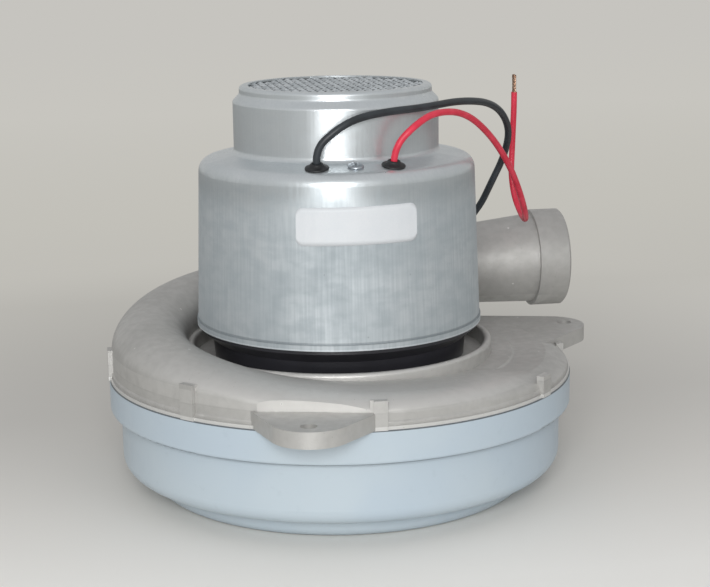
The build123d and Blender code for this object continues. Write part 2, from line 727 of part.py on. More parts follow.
# Brush gear: insulating plate, brass holders along X, brushes, springs and caps
plate = ring(plate_in_r, plate_out_r, bracket_top, holder_z)
notch = block(-bridge_half - seat_gap, bridge_half + seat_gap, upright_in - seat_gap, plate_out_r + cut_over,
              bracket_z, holder_z + cut_over)
for tool in round_about(notch, (0, 180)):
    plate = plate - tool
write("brush_plate", plate)
holder_half = brush_wide / 2 + brush_play + holder_wall
holder = (block(holder_in, holder_out, -holder_half, holder_half, holder_z, holder_z + holder_high)
          - block(holder_in - cut_over, holder_out + cut_over, holder_wall - holder_half,
                  holder_half - holder_wall, holder_z + holder_wall, holder_z + holder_high - holder_wall))
write("brush_holders", round_about(holder, (0, 180)))
brush_face = comm_r + seat_gap
brush_back = brush_face + brush_long
brush = (block(brush_face - cut_over, brush_back, -brush_wide / 2, brush_wide / 2, brush_z, brush_z + brush_high)
         - ring(0, brush_face, brush_z - cut_over, brush_z + brush_high + cut_over))
write("brush_right", brush)
write("brush_left", Rot(0, 0, 180) * brush)
spring_z = brush_z + brush_high / 2
spring_long = holder_out - brush_back - 2 * spring_wire_r
spring_path = Helix(spring_long / spring_turns, spring_long, spring_r)
coil = sweep(Plane(origin=spring_path @ 0, z_dir=spring_path % 0) * Circle(spring_wire_r), spring_path)
spring = Pos(brush_back + spring_wire_r, 0, spring_z) * Rot(0, 90, 0) * coil
write("spring_right", spring)
write("spring_left", Rot(0, 0, 180) * spring)
cap = block(holder_out, holder_out + cap_thick, -holder_half, holder_half, holder_z, holder_z + holder_high)
tab_end = holder_out + cap_thick + tab_long
tab = block(holder_out + cap_thick, tab_end, -tab_wide / 2, tab_wide / 2,
            spring_z - tab_thick / 2, spring_z + tab_thick / 2)
write("brush_caps", round_about(cap + tab, (0, 180)))

# Cooling fan on the top end of the shaft and its push-on clip
vent = fused([ring(shaft_tip_r + slip, vent_r, vent_z, vent_z + vent_sheet),
              ring(shaft_tip_r + slip, vent_hub_r, vent_z, vent_top)]
             + round_about(swept_blade(vent_in_r, vent_r - vent_sheet, vent_sweep, vent_sheet,
                                       vent_z, vent_top), [i * 360 / vent_blades for i in range(vent_blades)]))
write("cooling_fan", vent)
write("fan_clip", ring(shaft_tip_r + slip, clip_r, vent_top, vent_top + clip_thick))

# Support ring: tapered neck, flange, inner lip, exhaust windows at the rear
neck = turned([
    (ring_foot_r - ring_wall, well_z), (ring_foot_r, well_z), (ring_neck_r, ring_flange_z - ring_slope),
    (ring_flange_r, ring_flange_z), (ring_flange_r, ring_top), (can_foot_r - can_sheet - body_gap, ring_top),
    (can_foot_r - can_sheet - body_gap, ring_top + ring_lip),
    (can_foot_r - can_sheet - body_gap - ring_wall, ring_top + ring_lip),
    (ring_neck_r - ring_wall, ring_flange_z - ring_slope + ring_round)])
window = block(ring_foot_r - ring_wall - cut_over, ring_flange_r, 0, ring_window_wide,
               well_z + ring_wall, well_z + ring_wall + ring_window_high)
window = Pos(0, -ring_window_wide / 2, 0) * window
for i in range(ring_windows):
    neck = neck - Rot(0, 0, 90 + (i - (ring_windows - 1) / 2) * ring_window_pitch) * window
write("support_ring", neck)

# Motor cover: hem, tapered wall, shoulder, cap, cove and top lip in one drawn profile
hem_r = can_foot_r + can_hem_proud
cover = turned([
    (hem_r - can_sheet - can_hem_proud, ring_top), (hem_r, ring_top), (hem_r, ring_top + can_hem),
    (can_foot_r, ring_top + can_hem), (can_top_r, can_shoulder_z, can_corner),
    (cap_r, cap_foot_z, cap_foot_round), (cap_r, cap_step_z, cap_round), (cap_neck_r, cap_neck_z, cap_round),
    (cap_neck_r, cap_top_z, cap_round), (cap_lip_r, cap_top_z), (cap_lip_r, cap_top_z - can_sheet),
    (cap_neck_r - can_sheet, cap_top_z - can_sheet, cap_round - can_sheet),
    (cap_neck_r - can_sheet, cap_neck_z - can_sheet / 2, cap_round),
    (cap_r - can_sheet, cap_step_z - can_sheet / 2, cap_round),
    (cap_r - can_sheet, cap_foot_z - can_sheet, cap_foot_round),
    (can_top_r - can_sheet, can_shoulder_z - can_sheet, can_corner - can_sheet)])
screw_clear = Cylinder(cover_screw_r + seat_gap, 4 * cover_recess)
for angle in cover_screw_angles:
    cover = cover - on_shoulder(cover_screw_circle, screw_top_z, angle) * screw_clear
for angle in grommet_angles:
    cover = cover - on_shoulder(grommet_r, grommet_z, angle) * Cylinder(grommet_hole_r, 4 * cover_recess)
write("motor_cover", cover)

# Screen pressed up under the cap's lip, with a field of six-sided holes
screen_top = cap_top_z - can_sheet - seat_gap
screen_face = Circle(cap_neck_r - cap_round - seat_gap)
reach = int(screen_field_r / screen_pitch) + 1
row = screen_pitch * math.sqrt(3) / 2
holes = []
for j in range(-reach - 1, reach + 2):
    for i in range(-reach - 1, reach + 2):
        x, y = (i + (j % 2) / 2) * screen_pitch, j * row
        if math.hypot(x, y) < screen_field_r:
            holes.append(Pos(x, y) * RegularPolygon(screen_hole_flats / 2, 6, major_radius=False, rotation=30))
write("top_screen", Pos(0, 0, screen_top - screen_sheet) * extrude(screen_face - holes, screen_sheet))

# Cover screws and grommets, square to the sloping shoulder
cover_screw = pan_screw(cover_screw_r, cover_head_r, cover_head, cover_screw_long)
write("cover_screws", [on_shoulder(cover_screw_circle, screw_top_z, a) * cover_screw for a in cover_screw_angles])


def grommet(wire_r):
    hole = wire_r + lead_gap
    return turned([
        (hole, -shoulder_sheet - grommet_below), (grommet_grip_r, -shoulder_sheet - grommet_below),
        (grommet_grip_r, -shoulder_sheet - lead_gap), (grommet_groove_r, -shoulder_sheet - lead_gap),
        (grommet_groove_r, lead_gap), (grommet_flange_r, lead_gap),
        (grommet_flange_r, grommet_above, grommet_above / 3), (hole, grommet_above)])


write("lead_grommets", [on_shoulder(grommet_r, grommet_z, a) * grommet(r)
                        for a, r in zip(grommet_angles, (lead_black_r, lead_red_r))])


# Leads: straight runs joined by arcs as large as the runs allow
def cord(route, radius, name, show=True):
    points = [Vector(*p) for p in route]
    runs = [(b - a) for a, b in zip(points, points[1:])]
    radii = []
    for before, after in zip(runs, runs[1:]):
        half = math.radians(before.get_angle(after)) / 2
        radii.append(0.45 * min(before.length, after.length) / math.tan(half))
    path = FilletPolyline(*points, radius=radii)
    solid = sweep(Plane(origin=path @ 0, z_dir=path % 0) * Circle(radius), path)
    if show:
        print(name, "length", round(path.length, 1), "radii", [round(r, 1) for r in radii],
              "volume share", round(solid.volume / (math.pi * radius ** 2 * path.length), 4))
    return solid, path


def grommet_point(angle, height):
    place = on_shoulder(grommet_r, grommet_z, angle) * Pos(0, 0, height)
    return tuple(place.position)


ends = []
for name, angle, wire_r, route in (("lead_black", grommet_angles[0], lead_black_r, route_black),
                                   ("lead_red", grommet_angles[1], lead_red_r, route_red)):
    full = [grommet_point(angle, grommet_above), grommet_point(angle, grommet_above + lead_rise)] + route
    solid, path = cord(full, wire_r, name)
    write(name, solid)
    ends.append(extrude(Plane(origin=path @ 1, z_dir=path % 1) * Circle(end_r), end_long))
write("lead_ends", ends)

# Inner leads: from the cap tabs round inside the can and up through the grommets
for name, side, angle, wire_r in (("inner_lead_black", -1, grommet_angles[0], lead_black_r),
                                  ("inner_lead_red", 1, grommet_angles[1], lead_red_r)):
    bed = [(side * radius * math.cos(math.radians(turn)), -radius * math.sin(math.radians(turn)), z)
           for turn, radius, z in route_inner]
    full = ([(side * tab_end, 0, spring_z), (side * (tab_end + lead_start), 0, spring_z)] + bed
            + [grommet_point(angle, -shoulder_sheet - grommet_below - lead_lift),
               grommet_point(angle, grommet_above)])
    solid, path = cord(full, wire_r, name)
    write(name, solid)
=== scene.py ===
import json
import math
import random

import bmesh
import bpy
from mathutils import Matrix, Vector
from mathutils.bvhtree import BVHTree


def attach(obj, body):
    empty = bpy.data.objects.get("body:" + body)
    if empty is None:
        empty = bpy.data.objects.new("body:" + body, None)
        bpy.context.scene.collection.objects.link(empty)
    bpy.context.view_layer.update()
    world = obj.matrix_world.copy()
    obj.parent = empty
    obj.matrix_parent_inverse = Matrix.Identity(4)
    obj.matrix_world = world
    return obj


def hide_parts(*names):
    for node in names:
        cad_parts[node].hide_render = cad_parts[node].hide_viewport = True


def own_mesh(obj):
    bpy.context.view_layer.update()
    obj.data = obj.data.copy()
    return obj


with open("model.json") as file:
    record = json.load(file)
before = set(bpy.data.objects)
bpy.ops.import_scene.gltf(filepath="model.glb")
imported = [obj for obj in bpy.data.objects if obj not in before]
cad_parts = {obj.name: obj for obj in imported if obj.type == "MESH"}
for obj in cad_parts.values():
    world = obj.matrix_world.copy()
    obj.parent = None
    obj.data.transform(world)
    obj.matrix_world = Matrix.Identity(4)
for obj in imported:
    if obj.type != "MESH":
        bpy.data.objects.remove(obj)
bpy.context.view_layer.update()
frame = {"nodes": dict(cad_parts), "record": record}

# The looks of the vacuum motor unit, in the frame of the CAD model: Z up the
# motor shaft, X along the discharge horn. The named lengths are in mm, and MM
# turns them into Blender's metres; those of the stage are in metres.

MM = 0.001
HOUSING = "housing"


# Small helpers

def colour(code):
    """An sRGB hex code as a linear RGBA colour."""
    channels = [int(code[i:i + 2], 16) / 255 for i in (0, 2, 4)]
    return [c / 12.92 if c <= 0.04045 else ((c + 0.055) / 1.055) ** 2.4 for c in channels] + [1.0]


def node(tree, kind, inputs=None, stops=None, **settings):
    """Adds a node; an input is a value, or a socket to link to it."""
    made = tree.nodes.new(kind)
    for name, value in settings.items():
        setattr(made, name, value)
    for key, value in (inputs or {}).items():
        if isinstance(value, bpy.types.NodeSocket):
            tree.links.new(value, made.inputs[key])
        else:
            made.inputs[key].default_value = value
    for i, (place, value) in enumerate(stops or ()):
        ramp = made.color_ramp.elements
        stop = ramp[i] if i < 2 else ramp.new(place)
        stop.position, stop.color = place, value
    return made


def mesh_piece(name, verts, faces, smooth=True):
    """A mesh object at the origin that rides on the housing."""
    mesh = bpy.data.meshes.new(name)
    mesh.from_pydata([tuple(v) for v in verts], [], faces)
    bm = bmesh.new()
    bm.from_mesh(mesh)
    bmesh.ops.recalc_face_normals(bm, faces=bm.faces)
    bm.to_mesh(mesh)
    bm.free()
    mesh.polygons.foreach_set("use_smooth", [smooth] * len(mesh.polygons))
    piece = bpy.data.objects.new(name, mesh)
    bpy.context.scene.collection.objects.link(piece)
    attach(piece, HOUSING)
    return piece


# The camera

CAMERA_ANGLES = (12.314, 0.565, -0.819, -9.0)    # pitch, yaw, roll and the turn round the object, degrees
CAMERA_PLACE = (0, -766.05, 254.30)              # mm, before that turn
CAMERA_LENS, CAMERA_SENSOR, CAMERA_NEAR = 85.82, 36, 50    # mm


def place_camera():
    """The photograph was taken from the front left, a little above."""
    pitch, yaw, roll, turn = (math.radians(a) for a in CAMERA_ANGLES)
    fwd = Vector((math.sin(yaw) * math.cos(pitch), math.cos(yaw) * math.cos(pitch), -math.sin(pitch)))
    right = Vector((math.cos(yaw), -math.sin(yaw), 0))
    up = right.cross(fwd)
    side = math.cos(roll) * right + math.sin(roll) * up
    top = math.cos(roll) * up - math.sin(roll) * right
    grid = Matrix((side, top, -fwd)).transposed().to_4x4()
    grid.translation = Vector(CAMERA_PLACE) * MM
    camera = bpy.data.objects.new("camera", bpy.data.cameras.new("camera"))
    camera.data.sensor_width = CAMERA_SENSOR
    camera.data.lens = CAMERA_LENS
    camera.data.clip_start = CAMERA_NEAR * MM
    camera.matrix_world = Matrix.Rotation(turn, 4, "Z") @ grid
    bpy.context.scene.collection.objects.link(camera)
    bpy.context.scene.camera = camera


place_camera()


# The two flying leads

# Each lead's radius, its length and its route, in mm.
LEADS = {
    "lead_black": (1.65, 244.3, [
        (-16.729, -51.487, 155.545), (-17.144, -52.765, 161.904), (-8.6, -54.2, 169.6),
        (0.5, -51.4, 173.9), (13.9, -46.9, 175.8), (32.8, -37.6, 176.1), (53.7, -20.7, 177.1),
        (74.3, 0.4, 173.0), (85.8, 16.8, 160.2), (85.6, 24.9, 145.9), (80.0, 29.9, 131.4),
        (75.7, 36.6, 118.2), (65.0, 44.0, 104.0), (56.0, 54.0, 91.0), (46.0, 61.5, 81.0)]),
    "lead_red": (1.5, 245.1, [
        (16.729, -51.487, 155.545), (17.144, -52.765, 161.904), (25.6, -53.0, 170.4),
        (36.4, -44.4, 174.9), (53.2, -28.7, 172.6), (69.6, -9.0, 160.0), (82.9, 9.1, 144.2),
        (92.3, 23.9, 128.8), (99.0, 37.0, 115.7), (103.2, 50.5, 108.3), (104.2, 63.5, 109.6),
        (102.2, 69.9, 117.9), (101.0, 71.6, 129.5), (101.6, 72.0, 141.2), (101.8, 71.0, 153.0),
        (101.9, 69.9, 163.2), (101.8, 69.4, 170.8)]),
}
WIRE_STEPS, WIRE_BEVEL = 24, 7      # Blender's steps between two points, and round a quarter


def lead(name, radius, route):
    """One flying lead: a smooth line through its route, round in section."""
    curve = bpy.data.curves.new(name, "CURVE")
    curve.dimensions = "3D"
    spline = curve.splines.new("NURBS")
    spline.points.add(len(route) - 1)
    for point, place in zip(spline.points, route):
        point.co = [c * MM for c in place] + [1]
        point.radius = MM      # Blender adds it to the curve's box, so the depth below is in mm
    spline.order_u = 3
    spline.use_endpoint_u = True
    spline.resolution_u = WIRE_STEPS
    curve.bevel_depth = radius
    curve.bevel_resolution = WIRE_BEVEL
    curve.use_fill_caps = True
    piece = bpy.data.objects.new(name + "_wire", curve)
    bpy.context.scene.collection.objects.link(piece)
    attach(piece, HOUSING)
    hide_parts(name)
    return piece


# The strands of a stripped end, in mm; one turn of their twist takes TWIST.
STRANDS, STRAND_SIDES, STRAND_STEPS = 7, 8, 28
STRAND_R, LAY_R, BARE_LONG, TWIST = 0.36, 0.66, 10.0, 11.0
ROOT = 1.0             # how far they start inside the insulation
SPREAD_FROM = 0.6      # the share of the bare end after which they spread
SPREAD_MOST, SHORT_MOST, SEED = 0.35, 1.0, 7


def bare_end(name, route):
    """The stripped end: a core strand with the others twisted round it, spreading a little at the tip."""
    start, before = Vector(route[-1]), Vector(route[-2])
    along = (start - before).normalized()
    side = along.cross(Vector((0, 1, 0))).normalized()
    across = along.cross(side)
    verts, faces, around, steps = [], [], STRAND_SIDES, STRAND_STEPS
    chance = random.Random(SEED)
    for strand in range(STRANDS):
        home = strand * math.tau / (STRANDS - 1)
        lay = 0.0 if strand == STRANDS - 1 else LAY_R
        spread = chance.uniform(0.0, SPREAD_MOST)
        reach = BARE_LONG - chance.uniform(0.0, SHORT_MOST)
        first = len(verts)
        for step in range(steps + 1):
            share = step / steps
            turn = home + math.tau * share * reach / TWIST
            away = lay * (1 + spread * max(0.0, share - SPREAD_FROM) / (1 - SPREAD_FROM))
            lean = side * math.cos(turn) + across * math.sin(turn)
            middle = start + along * (share * reach - ROOT) + lean * away
            for k in range(around):
                a = math.tau * k / around
                out = side * math.cos(a) + across * math.sin(a)
                verts.append((middle + out * STRAND_R) * MM)
        for step in range(steps):
            for k in range(around):
                a, b = first + step * around + k, first + step * around + (k + 1) % around
                faces.append((a, b, b + around, a + around))
        faces.append(tuple(first + k for k in range(around))[::-1])
        faces.append(tuple(first + steps * around + k for k in range(around)))
    return mesh_piece(name, verts, faces)


wires, strands = {}, {}
for lead_name, (lead_r, lead_length, lead_route) in LEADS.items():
    wires[lead_name] = lead(lead_name, lead_r, lead_route)
    strands[lead_name] = bare_end(lead_name + "_strands", lead_route)
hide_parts("lead_ends")


# Materials

def axis_mask(tree, place, axis, low, high, soft):
    """1 between two levels in mm along an axis, or along the radius from the shaft, softened at both."""
    if axis == "R":
        flat = node(tree, "ShaderNodeVectorMath", {0: place, 1: (1, 1, 0)}, operation="MULTIPLY")
        level = node(tree, "ShaderNodeVectorMath", {0: flat.outputs[0]},
                     operation="LENGTH").outputs["Value"]
    else:
        level = node(tree, "ShaderNodeSeparateXYZ", {0: place}).outputs[axis]
    ends = []
    for edge, sign in ((low, 1), (high, -1)):
        ends.append(node(tree, "ShaderNodeMapRange", {
            0: level, 1: (edge - sign * soft / 2) * MM, 2: (edge + sign * soft / 2) * MM},
            interpolation_type="SMOOTHSTEP").outputs[0])
    return node(tree, "ShaderNodeMath", {0: ends[0], 1: ends[1]}, operation="MULTIPLY").outputs[0]


def pattern(tree, place, kind, size, stretch=(1, 1, 1), span=(0.35, 0.65), detail=3.0, seed=0.0, **_):
    """A 0 to 1 pattern whose features are about size mm across: noise, specks, or waves along X, Y or Z."""
    scaled = node(tree, "ShaderNodeMapping", {
        "Vector": place, "Location": (seed, seed * 0.7, seed * 1.3),
        "Scale": [1 / (size * s * MM) for s in stretch]}).outputs[0]
    if kind == "noise":
        raw = node(tree, "ShaderNodeTexNoise", {
            "Vector": scaled, "Scale": 1.0, "Detail": detail}).outputs[0]
    elif kind == "specks":
        raw = node(tree, "ShaderNodeTexVoronoi", {"Vector": scaled, "Scale": 1.0}).outputs["Distance"]
        span = span[::-1]
    else:
        raw = node(tree, "ShaderNodeTexWave", {
            "Vector": scaled, "Scale": 1 / math.tau, "Distortion": 0.6, "Detail": detail},
            bands_direction=kind).outputs[1]
    return node(tree, "ShaderNodeMapRange", {0: raw, 1: span[0], 2: span[1]},
                interpolation_type="SMOOTHSTEP").outputs[0]


def surface(name, base, metallic=0.0, rough=0.5, layers=(), **constants):
    """A Principled material. Each layer is a pattern, (axis, low, high, soft) masks in mm that it keeps
    within, or both, and what it does there: it tints towards a colour by an amount, adds to the
    roughness, or raises the surface by bump mm."""
    made = bpy.data.materials.new(name)
    made.use_nodes = True
    tree = made.node_tree
    shader = tree.nodes["Principled BSDF"]
    place = node(tree, "ShaderNodeTexCoord").outputs["Object"]
    shade = node(tree, "ShaderNodeRGB")
    shade.outputs[0].default_value = colour(base)
    shade, roughness, normal = shade.outputs[0], None, None
    for layer in layers:
        mask = pattern(tree, place, **layer) if "kind" in layer else None
        for limits in layer.get("within", ()):
            part = axis_mask(tree, place, *limits)
            mask = part if mask is None else node(
                tree, "ShaderNodeMath", {0: mask, 1: part}, operation="MULTIPLY").outputs[0]
        if "tint" in layer:
            share = node(tree, "ShaderNodeMath", {0: mask, 1: layer["amount"]}, operation="MULTIPLY")
            shade = node(tree, "ShaderNodeMix", {0: share.outputs[0], 6: shade, 7: colour(layer["tint"])},
                         data_type="RGBA").outputs[2]
        if "rough" in layer:
            if roughness is None:
                roughness = rough
            roughness = node(tree, "ShaderNodeMath", {0: mask, 1: layer["rough"], 2: roughness},
                             operation="MULTIPLY_ADD", use_clamp=True).outputs[0]
        if "bump" in layer:
            depth = layer["bump"]
            bump = {"Height": mask, "Distance": abs(depth) * MM, "Strength": 1.0}
            if normal is not None:
                bump["Normal"] = normal
            normal = node(tree, "ShaderNodeBump", bump, invert=depth < 0).outputs[0]
    tree.links.new(shade, shader.inputs["Base Color"])
    shader.inputs["Metallic"].default_value = metallic
    if roughness is None:
        shader.inputs["Roughness"].default_value = rough
    else:
        tree.links.new(roughness, shader.inputs["Roughness"])
    if normal is not None:
        tree.links.new(normal, shader.inputs["Normal"])
    for key, value in constants.items():
        shader.inputs[key.replace("_", " ")].default_value = value
    return made


# One finish for each material slot of the record.
LOOKS = {}

# Enamelled deep-drawn steel: an even pale blue-grey with a faint orange peel
# and a soft shine, a little dulled by handling, with painted shade in the corners
# of its steps, along its top edge at the seam and round its foot.
LOOKS["shell_paint"] = surface("enamel_on_drawn_steel", "B4C0C8", 0.0, 0.36, [
    {"kind": "noise", "size": 2.2, "span": (0.3, 0.7), "bump": 0.012},
    {"kind": "noise", "size": 60, "tint": "A9B8C5", "amount": 0.5},
    {"kind": "noise", "size": 9, "rough": 0.10},
    {"kind": "noise", "size": 5, "span": (0.62, 0.75), "tint": "8E9AA5", "amount": 0.10},
    # painted shade: dark lines in the step, along the seam under the casting and round the foot
    {"within": [("Z", 37.2, 38.6, 0.5)], "tint": "4C555D", "amount": 0.7},
    {"within": [("Z", 52.15, 54.0, 0.25)], "tint": "3E4246", "amount": 0.85},
    {"within": [("Z", 8.0, 10.6, 1.0), ("R", 86.5, 93.5, 2.0)], "tint": "4C555D", "amount": 0.6},
])

# Die-cast aluminium, shot-blasted: a neutral matt grey skin, finely grained, with small
# pits, faint flow shades and bright nicks; painted light pales its crown at the front and
# its walls, a painted highlight lies on its turned lip, and painted shade dulls its rear.
LOOKS["cast_aluminium"] = surface("die_cast_aluminium", "BDBCB9", 0.45, 0.46, [
    {"kind": "noise", "size": 45, "span": (0.3, 0.7), "tint": "A4A3A0", "amount": 0.55},
    {"kind": "noise", "size": 4, "span": (0.3, 0.7), "detail": 6.0, "tint": "A2A19E", "amount": 0.35,
     "rough": 0.08},
    {"kind": "noise", "size": 0.7, "span": (0.25, 0.75), "bump": 0.025, "detail": 4.0},
    {"kind": "noise", "size": 16.0, "span": (0.3, 0.7), "bump": 0.05, "detail": 2.0},
    # painted light: the crown at the front made paler
    {"within": [("R", 0, 105.0, 2), ("Y", -140, -60, 50), ("Z", 60.5, 90, 3)], "tint": "D6D5D2",
     "amount": 0.55, "rough": -0.05},
    # painted shade: the rear made duller
    {"within": [("Y", 20, 140, 60)], "tint": "9A9895", "amount": 0.25},
    # painted light: the walls made paler, in two bands
    {"kind": "noise", "size": 6, "span": (0.2, 0.6),
     "within": [("R", 102.6, 140, 2.0), ("Z", 52.0, 59.7, 0.3)],
     "tint": "BDBCB9", "amount": 0.4, "rough": -0.03},
    {"kind": "noise", "size": 6, "span": (0.2, 0.6),
     "within": [("R", 101.6, 140, 1.4), ("Z", 60.3, 66.0, 0.4)],
     "tint": "C6C5C2", "amount": 0.5, "rough": -0.03},
    # painted highlight on the turned lip
    {"within": [("R", 105.9, 107.2, 0.3), ("Z", 52.5, 54.35, 0.25)], "tint": "E4E4E2",
     "amount": 0.6, "rough": -0.1},
    {"kind": "specks", "size": 3.4, "span": (0.0, 0.10), "bump": -0.05, "tint": "77746F", "amount": 0.5},
    {"kind": "specks", "size": 11.0, "span": (0.0, 0.07), "seed": 3.0, "tint": "F4F3F1", "amount": 0.9,
     "rough": -0.25},
])

# Drawn galvanised steel: cool bright grey with upright draw streaks, cloudy
# patches and small dull marks, shinier toward the cap and made paler there by
# painted light, with painted shade above the rolled hem and a painted highlight on its edge.
LOOKS["galvanised_steel"] = surface("drawn_galvanised_steel", "C7CDD0", 0.74, 0.64, [
    {"kind": "noise", "size": 1.1, "stretch": (1, 1, 50), "span": (0.3, 0.7), "tint": "ADB5B9",
     "amount": 0.40, "rough": 0.08},
    {"kind": "noise", "size": 7.0, "stretch": (1.4, 1.4, 0.7), "span": (0.35, 0.7), "detail": 5.0,
     "tint": "A9B2B7", "amount": 0.45, "rough": 0.05},
    {"kind": "noise", "size": 28, "span": (0.35, 0.7), "tint": "B0B8BC", "amount": 0.55, "rough": 0.07},
    {"within": [("Z", 138, 210, 18)], "rough": -0.38},
    # painted light: the cap made paler
    {"within": [("Z", 146, 210, 10)], "tint": "F2F5F6", "amount": 0.3},
    {"kind": "noise", "size": 0.9, "stretch": (1, 1, 30), "bump": 0.002},
    {"kind": "noise", "size": 20, "bump": 0.05, "detail": 1.0},
    {"kind": "specks", "size": 16, "span": (0.0, 0.04), "tint": "8A9296", "amount": 0.5},
    # painted shade above the rolled hem
    {"within": [("Z", 78.4, 79.5, 0.4)], "tint": "7A8286", "amount": 0.5},
    # painted highlight on the hem's edge
    {"within": [("Z", 75.8, 76.7, 0.3)], "tint": "EDF1F3", "amount": 0.3},
])

# The cap's pressed screen: the same steel, bright on its raised corners, with
# painted shade darkening it between them.
SCREEN = surface("pressed_screen_steel", "D2D7DA", 0.7, 0.33, [
    {"kind": "noise", "size": 5, "span": (0.3, 0.7), "tint": "9AA1A5", "amount": 0.6, "rough": 0.1},
    # painted shade between the raised corners
    {"within": [("Z", 170, 182.98, 0.35)], "tint": "141516", "amount": 0.93, "rough": 0.2},
])

# Moulded black plastic: glossy, with the faint flow marks of the mould.
LOOKS["black_plastic"] = surface("moulded_black_nylon", "26262A", 0.0, 0.28, [
    {"kind": "noise", "size": 30, "stretch": (1, 1, 3), "tint": "2A2A2F", "amount": 0.8, "rough": 0.08},
    {"kind": "noise", "size": 0.5, "bump": 0.006},
])

# Punched plain aluminium sheet, of the fans: bright, with rolling lines.
LOOKS["sheet_aluminium"] = surface("rolled_aluminium_sheet", "CDCED0", 1.0, 0.33, [
    {"kind": "noise", "size": 0.7, "stretch": (40, 1, 40), "tint": "B4B6B9", "amount": 0.5, "rough": 0.1},
    {"kind": "noise", "size": 22, "tint": "BDBFC2", "amount": 0.5},
    {"kind": "noise", "size": 1.5, "bump": 0.01},
])

# Ground shaft steel: close bright turning marks round it.
LOOKS["bright_steel"] = surface("ground_shaft_steel", "BFC1C3", 1.0, 0.22, [
    {"kind": "noise", "size": 0.25, "stretch": (30, 30, 1), "tint": "A3A6A9", "amount": 0.5, "rough": 0.08,
     "bump": 0.004},
    {"kind": "noise", "size": 12, "tint": "AEB1B4", "amount": 0.4},
])

# Zinc-plated fasteners: pale bluish plate, slightly mottled.
LOOKS["zinc_plated_steel"] = surface("zinc_plated_steel", "C4CACF", 1.0, 0.27, [
    {"kind": "noise", "size": 2.5, "tint": "A8B0B8", "amount": 0.6, "rough": 0.12},
    {"kind": "noise", "size": 0.4, "bump": 0.008},
])

# Hardened ring steel of the bearings: dense mirror-like grinding.
LOOKS["bearing_steel"] = surface("ground_bearing_steel", "B8B9BB", 1.0, 0.16, [
    {"kind": "noise", "size": 0.2, "stretch": (25, 25, 1), "tint": "9FA1A4", "amount": 0.4, "rough": 0.08},
    {"kind": "noise", "size": 6, "tint": "ABACAF", "amount": 0.4},
])

# Stacked electrical steel: each sheet shows as a dark line round the core.
LOOKS["lamination_steel"] = surface("stacked_lamination_steel", "6A6C70", 0.9, 0.42, [
    {"kind": "Z", "size": 0.25, "span": (0.2, 0.8), "tint": "3F4144", "amount": 0.6, "bump": 0.02},
    {"kind": "noise", "size": 8, "tint": "5A4E46", "amount": 0.5, "rough": 0.15},
])

# Enamelled magnet wire: reddish copper under clear varnish.
LOOKS["enamelled_copper"] = surface("varnished_magnet_wire", "A5522A", 0.75, 0.28, [
    {"kind": "noise", "size": 5, "tint": "7A3717", "amount": 0.6, "rough": 0.1},
    {"kind": "noise", "size": 0.5, "tint": "C77A48", "amount": 0.5, "bump": 0.02},
], Coat_Weight=0.5)

# Bare copper, drawn and twisted.
LOOKS["copper"] = surface("bare_copper_wire", "B8937A", 1.0, 0.3, [
    {"kind": "noise", "size": 0.4, "stretch": (1, 1, 12), "tint": "D8C2B2", "amount": 0.6, "rough": 0.1},
    {"kind": "noise", "size": 2.0, "tint": "8A6A56", "amount": 0.5},
])

# Drawn brass tube, slightly dulled.
LOOKS["brass"] = surface("drawn_brass", "C9A45C", 1.0, 0.27, [
    {"kind": "noise", "size": 0.6, "stretch": (20, 1, 1), "tint": "AF8A45", "amount": 0.5, "rough": 0.1},
    {"kind": "noise", "size": 5, "tint": "8F6E38", "amount": 0.4},
])

# Pressed carbon-graphite: dark, dull, finely grained.
LOOKS["carbon"] = surface("pressed_carbon_graphite", "2A2A2C", 0.2, 0.5, [
    {"kind": "noise", "size": 0.5, "tint": "45464A", "amount": 0.7, "bump": 0.02, "rough": 0.12},
    {"kind": "noise", "size": 3, "tint": "1C1C1E", "amount": 0.5},
])

# Sintered ferrite: near-black, ground faces.
LOOKS["ferrite"] = surface("sintered_ferrite", "37383C", 0.15, 0.48, [
    {"kind": "noise", "size": 0.8, "tint": "4B4C50", "amount": 0.5, "bump": 0.015},
    {"kind": "noise", "size": 10, "tint": "2A2B2E", "amount": 0.6, "rough": 0.12},
])

# Paper-phenolic board: brown, faintly woven.
LOOKS["phenolic_board"] = surface("paper_phenolic_board", "6B4527", 0.0, 0.38, [
    {"kind": "X", "size": 0.8, "tint": "7C5330", "amount": 0.35},
    {"kind": "Y", "size": 0.8, "tint": "553619", "amount": 0.35},
    {"kind": "noise", "size": 7, "tint": "52331B", "amount": 0.5, "rough": 0.1},
])

# Soft black rubber of the grommets: dull, with a bloom.
LOOKS["black_rubber"] = surface("moulded_black_rubber", "17181A", 0.0, 0.42, [
    {"kind": "noise", "size": 3, "tint": "26282B", "amount": 0.6, "rough": 0.15},
    {"kind": "noise", "size": 0.5, "bump": 0.01},
])

# Lead insulation: extruded, smooth and slightly waxy.
LOOKS["black_insulation"] = surface("extruded_black_insulation", "25292D", 0.0, 0.36, [
    {"kind": "noise", "size": 8, "tint": "343A3F", "amount": 0.6, "rough": 0.12},
    {"kind": "noise", "size": 0.6, "bump": 0.008},
])
LOOKS["red_insulation"] = surface("extruded_red_insulation", "DE3850", 0.0, 0.36, [
    {"kind": "noise", "size": 8, "tint": "C41F38", "amount": 0.6, "rough": 0.12},
    {"kind": "noise", "size": 0.6, "bump": 0.008},
    {"kind": "specks", "size": 7, "span": (0.0, 0.05), "tint": "8E1A2A", "amount": 0.5},
])

# Hard-drawn spring wire.
LOOKS["spring_steel"] = surface("hard_drawn_spring_wire", "9EA1A5", 1.0, 0.28, [
    {"kind": "noise", "size": 0.5, "tint": "85888C", "amount": 0.5, "rough": 0.1},
    {"kind": "noise", "size": 3, "tint": "74767A", "amount": 0.3},
])

